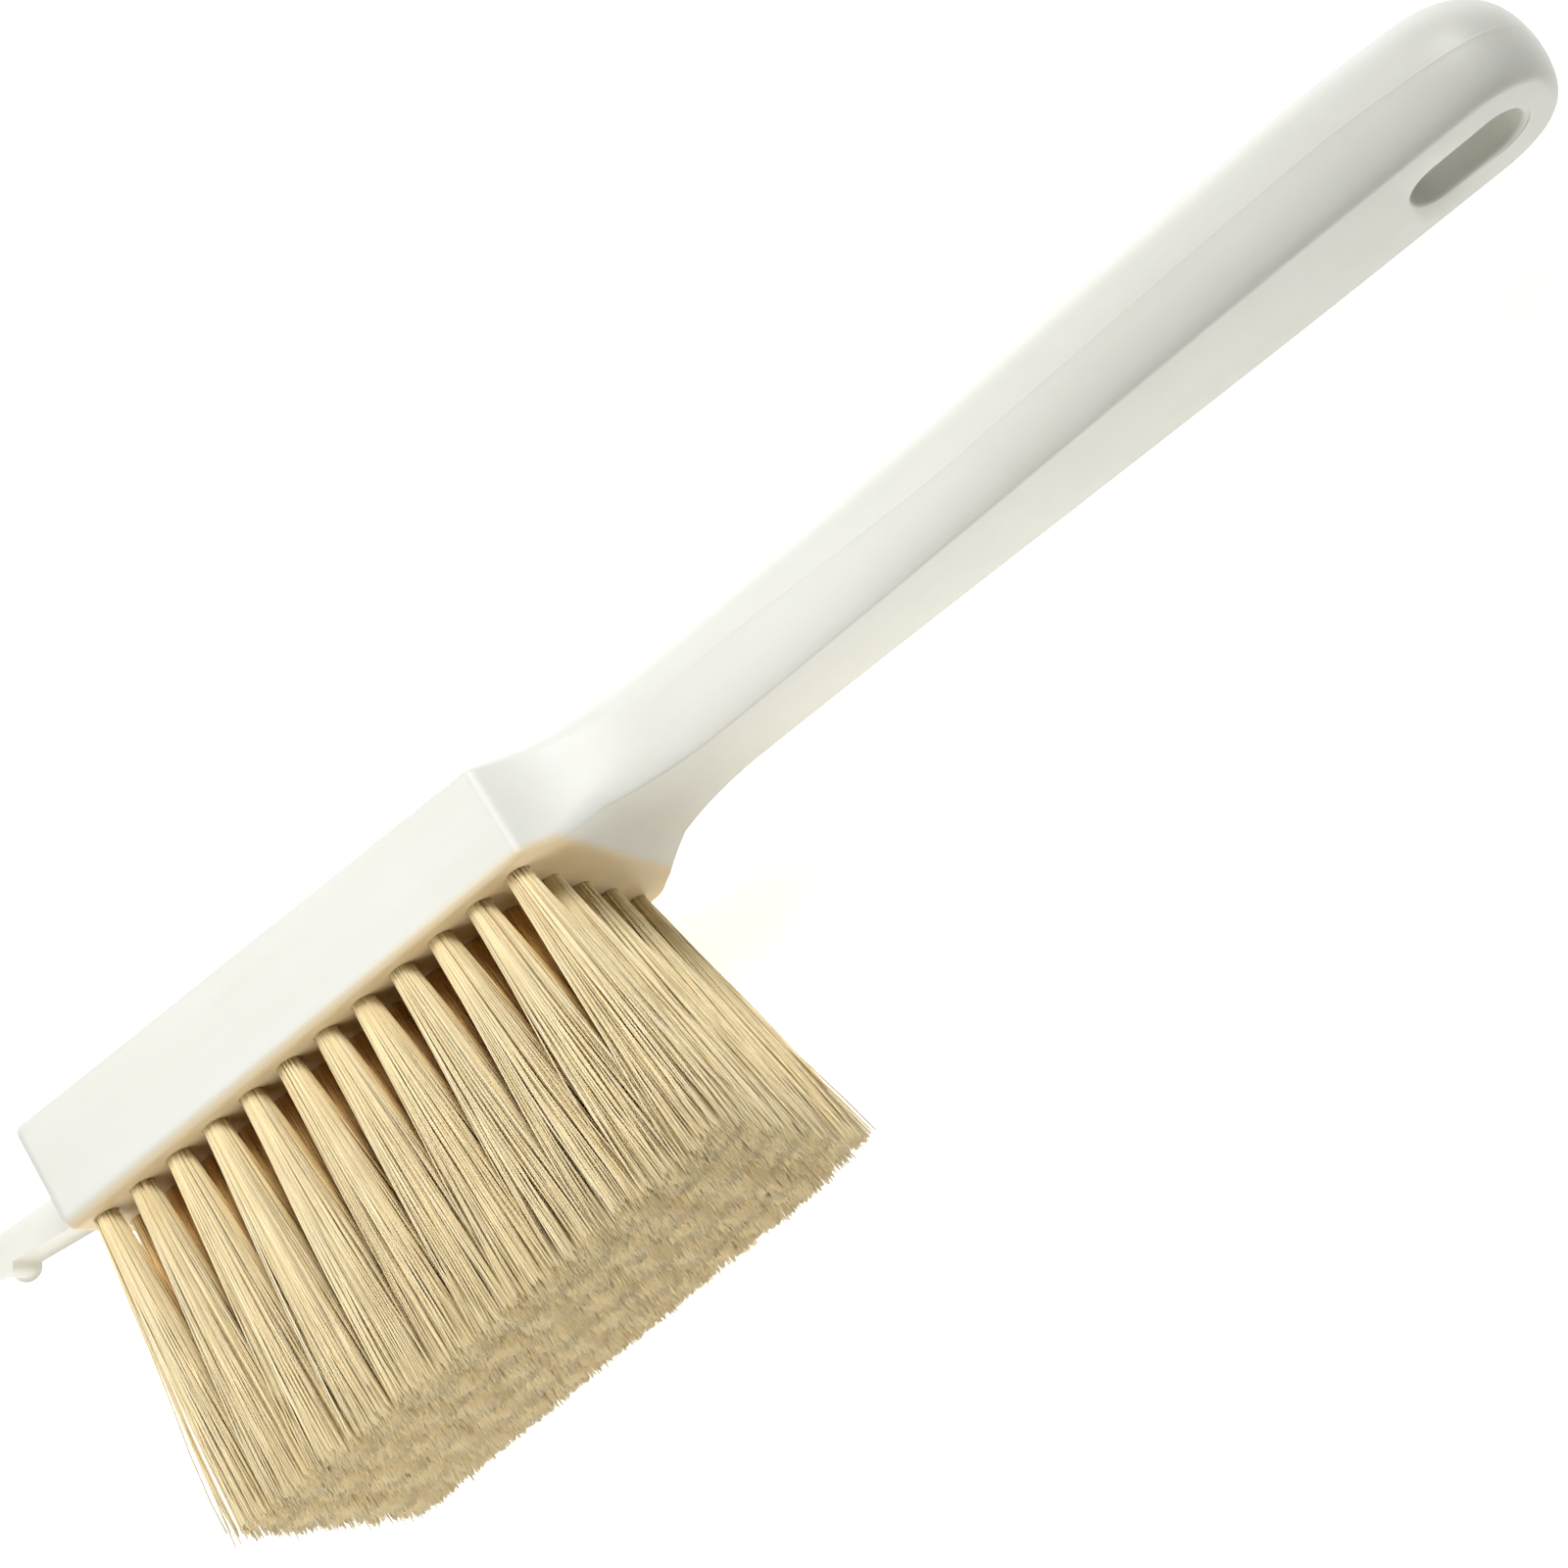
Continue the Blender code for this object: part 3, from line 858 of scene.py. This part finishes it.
def bristle_material():
    material, tree, shader = new_material("cream_bristle_visual")
    tone = add_node(tree, "ShaderNodeAttribute", attribute_name="tone").outputs["Fac"]
    along = add_node(tree, "ShaderNodeAttribute", attribute_name="along").outputs["Fac"]
    shade = add_node(tree, "ShaderNodeAttribute", attribute_name="shade").outputs["Fac"]
    coords = add_node(tree, "ShaderNodeTexCoord").outputs["Object"]
    patch = noise(tree, coords, 420, 3, (1, 0.15, 1))
    hair = ramp(tree, tone, [
        (0.0, (0.96, 0.795, 0.475)),
        (0.25, (0.975, 0.83, 0.52)),
        (0.75, (0.99, 0.855, 0.555)),
        (1.0, (0.995, 0.895, 0.63)),
    ])
    length = ramp(tree, along, [
        (0.0, (0.99, 0.96, 0.90)),
        (0.35, (1.0, 1.0, 1.0)),
        (1.0, (0.99, 0.98, 0.97)),
    ])
    mottled = ramp(tree, patch, [(0.3, (0.93, 0.91, 0.87)), (0.65, (1, 1, 1))])
    # Painted shade: filaments deep among the roots, where the shade attribute is low, get a
    # darker, browner colour.
    painted_root_shade = ramp(tree, shade, [
        (0.0, (0.94, 0.70, 0.38)),
        (0.35, (0.97, 0.86, 0.66)),
        (0.6, (1, 1, 1)),
    ])
    hair = mixed(tree, 1.0, hair, painted_root_shade, "MULTIPLY")
    colour = mixed(tree, 1.0, mixed(tree, 1.0, hair, length, "MULTIPLY"), mottled, "MULTIPLY")
    tree.links.new(colour, shader.inputs["Base Color"])
    tree.links.new(scaled(tree, tone, 0.5, 0.7), shader.inputs["Roughness"])
    shader.inputs["Specular IOR Level"].default_value = 0.3
    shader.inputs["Sheen Weight"].default_value = 0.35
    shader.inputs["Sheen Roughness"].default_value = 0.5
    shader.inputs["Sheen Tint"].default_value = (1.0, 0.9, 0.7, 1)
    bumped(tree, shader, patch, 0.3, 0.00003)
    return material


def wire_material():
    material, tree, shader = new_material("anchor_wire")
    coords = add_node(tree, "ShaderNodeTexCoord").outputs["Object"]
    grain = noise(tree, coords, 1500, 3)
    steel = ramp(tree, grain, [(0.3, (0.42, 0.42, 0.43)), (0.7, (0.6, 0.6, 0.61))])
    tree.links.new(steel, shader.inputs["Base Color"])
    tree.links.new(scaled(tree, grain, 0.25, 0.45), shader.inputs["Roughness"])
    shader.inputs["Metallic"].default_value = 1
    bumped(tree, shader, grain, 0.2, 0.00002)
    return material


# ---------------------------------------------------------------- stage, lights, camera

FLOOR_GAP = 0.5 * MM
FLOOR_SIZE = 4
FLOOR_GLOW = 0.7
WORLD_STRENGTH = 0.02
WARM = (1.0, 0.975, 0.915)
KEY_POWER = 0.72
TOP_POWER = 0.14
RIGHT_POWER = 0.66
FILL_POWER = 0.38


def build_floor(level):
    bm = bmesh.new()
    bmesh.ops.create_grid(bm, x_segments=1, y_segments=1, size=FLOOR_SIZE)
    mesh = bpy.data.meshes.new("floor")
    bm.to_mesh(mesh)
    bm.free()
    floor = link("floor", mesh)
    floor.location = (0, 0, level)
    material, tree, shader = new_material("floor_white")
    coords = add_node(tree, "ShaderNodeTexCoord").outputs["Object"]
    paper = noise(tree, coords, 3, 2)
    tree.links.new(
        ramp(tree, paper, [(0.3, (0.95, 0.95, 0.95)), (0.7, (0.97, 0.97, 0.97))]),
        shader.inputs["Base Color"],
    )
    shader.inputs["Roughness"].default_value = 0.9
    shader.inputs["Specular IOR Level"].default_value = 0.1
    shader.inputs["Emission Color"].default_value = (1, 0.985, 0.955, 1)
    shader.inputs["Emission Strength"].default_value = FLOOR_GLOW
    floor.data.materials.append(material)
    floor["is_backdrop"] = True


def area_light(name, where, target, size, power, cone, colour=(1, 1, 1)):
    data = bpy.data.lights.new(name, "AREA")
    data.shape = "DISK"
    data.size = size
    data.energy = power
    data.color = colour
    data.spread = math.radians(cone)
    light = bpy.data.objects.new(name, data)
    bpy.context.scene.collection.objects.link(light)
    light.location = where
    light.rotation_euler = (Vector(target) - Vector(where)).to_track_quat("-Z", "Y").to_euler()


def build_world(strength):
    world = bpy.data.worlds.new("studio")
    world.use_nodes = True
    background = world.node_tree.nodes["Background"]
    background.inputs["Color"].default_value = (1, 1, 1, 1)
    background.inputs["Strength"].default_value = strength
    bpy.context.scene.world = world


def build_camera():
    data = bpy.data.cameras.new("camera")
    data.sensor_width = 36
    data.lens = 72.06
    data.clip_start = 0.01
    camera = bpy.data.objects.new("camera", data)
    bpy.context.scene.collection.objects.link(camera)
    right = Vector((0.76697, -0.49795, -0.4048))
    up = Vector((0.59144, 0.79315, 0.1449))
    back = Vector((0.24893, -0.35052, 0.9029))
    turn = Matrix((right, up, back)).transposed().to_4x4()
    camera.matrix_world = Matrix.Translation((0.225386, -0.215008, 0.4841)) @ turn
    bpy.context.scene.camera = camera


plastic = plastic_material()
body = build_body()
body.data.materials.clear()
body.data.materials.append(plastic)
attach(body, "root")
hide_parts("handle_block")
build_tufts(bristle_material())
build_anchors(wire_material())

build_floor(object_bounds()[0].z - FLOOR_GAP)
build_world(WORLD_STRENGTH)
area_light("key", (-0.3, 0.32, 0.66), (-0.02, 0, 0), 0.5, KEY_POWER, 90)
area_light("top", (-0.3, 0.6, 0.4), (-0.02, -0.01, 0), 0.5, TOP_POWER, 60)
area_light("right", (0.45, 0.35, 0.55), (0.03, -0.03, 0), 0.4, RIGHT_POWER, 60)
area_light("fill", (-0.2, -0.58, 0.3), (-0.03, -0.07, 0), 0.45, FILL_POWER, 60, WARM)
build_camera()
bpy.context.scene.view_settings.view_transform = "Standard"
bpy.context.scene.view_settings.look = "None"
